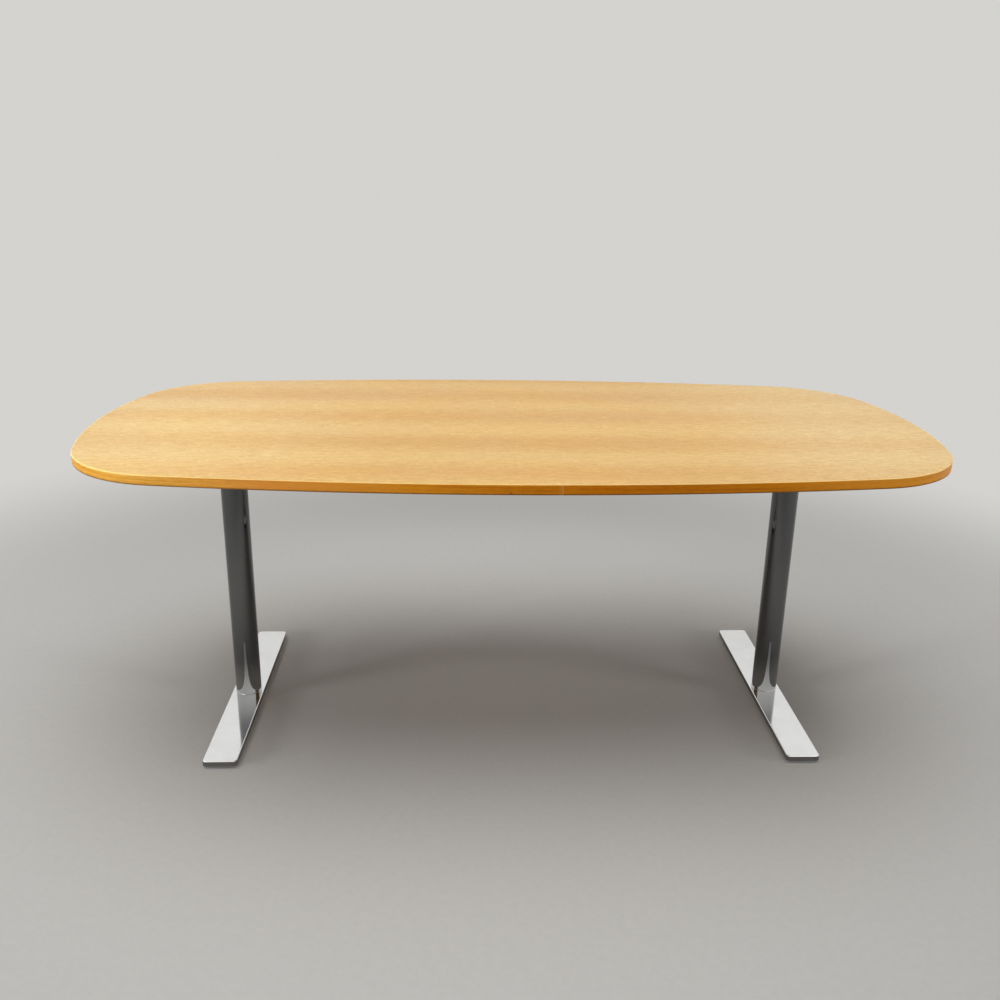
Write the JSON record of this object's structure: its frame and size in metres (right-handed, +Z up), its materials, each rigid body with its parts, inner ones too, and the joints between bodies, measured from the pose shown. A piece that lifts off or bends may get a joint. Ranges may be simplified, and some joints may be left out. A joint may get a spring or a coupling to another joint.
{
  "type": "oval table",
  "caption": "Meeting table with a bowed oval veneered wooden top on two round chrome columns, each on a flat chrome bar foot with levelling glides.",
  "frame": {"origin": "on the floor under the middle of the table top", "axes": "+X along the table, +Y across it to the rear, +Z up"},
  "size_m": [1.9996, 1, 0.75],
  "materials": {
    "wood_veneer": "pale veneer under a satin lacquer",
    "wood_lipping": "solid edge strip under a satin lacquer",
    "backing_wood": "plain balancing veneer, matt",
    "particleboard": "pressed chips",
    "chrome_tube": "bright chrome plating",
    "chrome_bar": "bright chrome plating",
    "coated_steel": "fine black powder coat",
    "zinc_steel": "bright zinc plating",
    "glide_plastic": "moulded nylon"
  },
  "bodies": {
    "table": {"arm_screws_left": "zinc_steel", "arm_screws_right": "zinc_steel", "backing_veneer": "backing_wood", "board_inserts_left": "zinc_steel", "board_inserts_right": "zinc_steel", "column_flange_left": "zinc_steel", "column_flange_right": "zinc_steel", "column_left": "chrome_tube", "column_plug_left": "zinc_steel", "column_plug_right": "zinc_steel", "column_right": "chrome_tube", "core_board": "particleboard", "cross_arm_left": "coated_steel", "cross_arm_right": "coated_steel", "edge_lipping": "wood_lipping", "face_veneer": "wood_veneer", "flange_bolts_left": "zinc_steel", "flange_bolts_right": "zinc_steel", "foot_bolts_left": "zinc_steel", "foot_bolts_right": "zinc_steel", "foot_left": "chrome_bar", "foot_right": "chrome_bar", "rail_bolts_left": "zinc_steel", "rail_bolts_right": "zinc_steel", "rail_front": "coated_steel", "rail_plug_front_left": "zinc_steel", "rail_plug_front_right": "zinc_steel", "rail_plug_rear_left": "zinc_steel", "rail_plug_rear_right": "zinc_steel", "rail_rear": "coated_steel"},
    "glide_pad_front_left": {"glide_pad_front_left": "glide_plastic"},
    "glide_stud_front_left": {"glide_stud_front_left": "zinc_steel"},
    "glide_pad_front_right": {"glide_pad_front_right": "glide_plastic"},
    "glide_stud_front_right": {"glide_stud_front_right": "zinc_steel"},
    "glide_pad_rear_left": {"glide_pad_rear_left": "glide_plastic"},
    "glide_stud_rear_left": {"glide_stud_rear_left": "zinc_steel"},
    "glide_pad_rear_right": {"glide_pad_rear_right": "glide_plastic"},
    "glide_stud_rear_right": {"glide_stud_rear_right": "zinc_steel"}
  },
  "joints": [
    {"name": "glide_travel_front_left", "type": "slide", "parent": "table", "child": "glide_pad_front_left", "axis": [0, 0, -1], "range_m": [0, 0.005]},
    {"name": "stud_turn_front_left", "type": "hinge", "parent": "glide_pad_front_left", "child": "glide_stud_front_left", "pos_m": [-0.69, -0.298, 0.012], "axis": [0, 0, -1], "range_deg": [0, 1440]},
    {"name": "glide_travel_front_right", "type": "slide", "parent": "table", "child": "glide_pad_front_right", "axis": [0, 0, -1], "range_m": [0, 0.005]},
    {"name": "stud_turn_front_right", "type": "hinge", "parent": "glide_pad_front_right", "child": "glide_stud_front_right", "pos_m": [0.69, -0.298, 0.012], "axis": [0, 0, -1], "range_deg": [0, 1440]},
    {"name": "glide_travel_rear_left", "type": "slide", "parent": "table", "child": "glide_pad_rear_left", "axis": [0, 0, -1], "range_m": [0, 0.005]},
    {"name": "stud_turn_rear_left", "type": "hinge", "parent": "glide_pad_rear_left", "child": "glide_stud_rear_left", "pos_m": [-0.69, 0.298, 0.012], "axis": [0, 0, -1], "range_deg": [0, 1440]},
    {"name": "glide_travel_rear_right", "type": "slide", "parent": "table", "child": "glide_pad_rear_right", "axis": [0, 0, -1], "range_m": [0, 0.005]},
    {"name": "stud_turn_rear_right", "type": "hinge", "parent": "glide_pad_rear_right", "child": "glide_stud_rear_right", "pos_m": [0.69, 0.298, 0.012], "axis": [0, 0, -1], "range_deg": [0, 1440]}
  ],
  "couplings": [
    {"joint": "glide_travel_front_left", "follows": "stud_turn_front_left", "m_per_rad": 0.00019894},
    {"joint": "glide_travel_front_right", "follows": "stud_turn_front_right", "m_per_rad": 0.00019894},
    {"joint": "glide_travel_rear_left", "follows": "stud_turn_rear_left", "m_per_rad": 0.00019894},
    {"joint": "glide_travel_rear_right", "follows": "stud_turn_rear_right", "m_per_rad": 0.00019894}
  ]
}
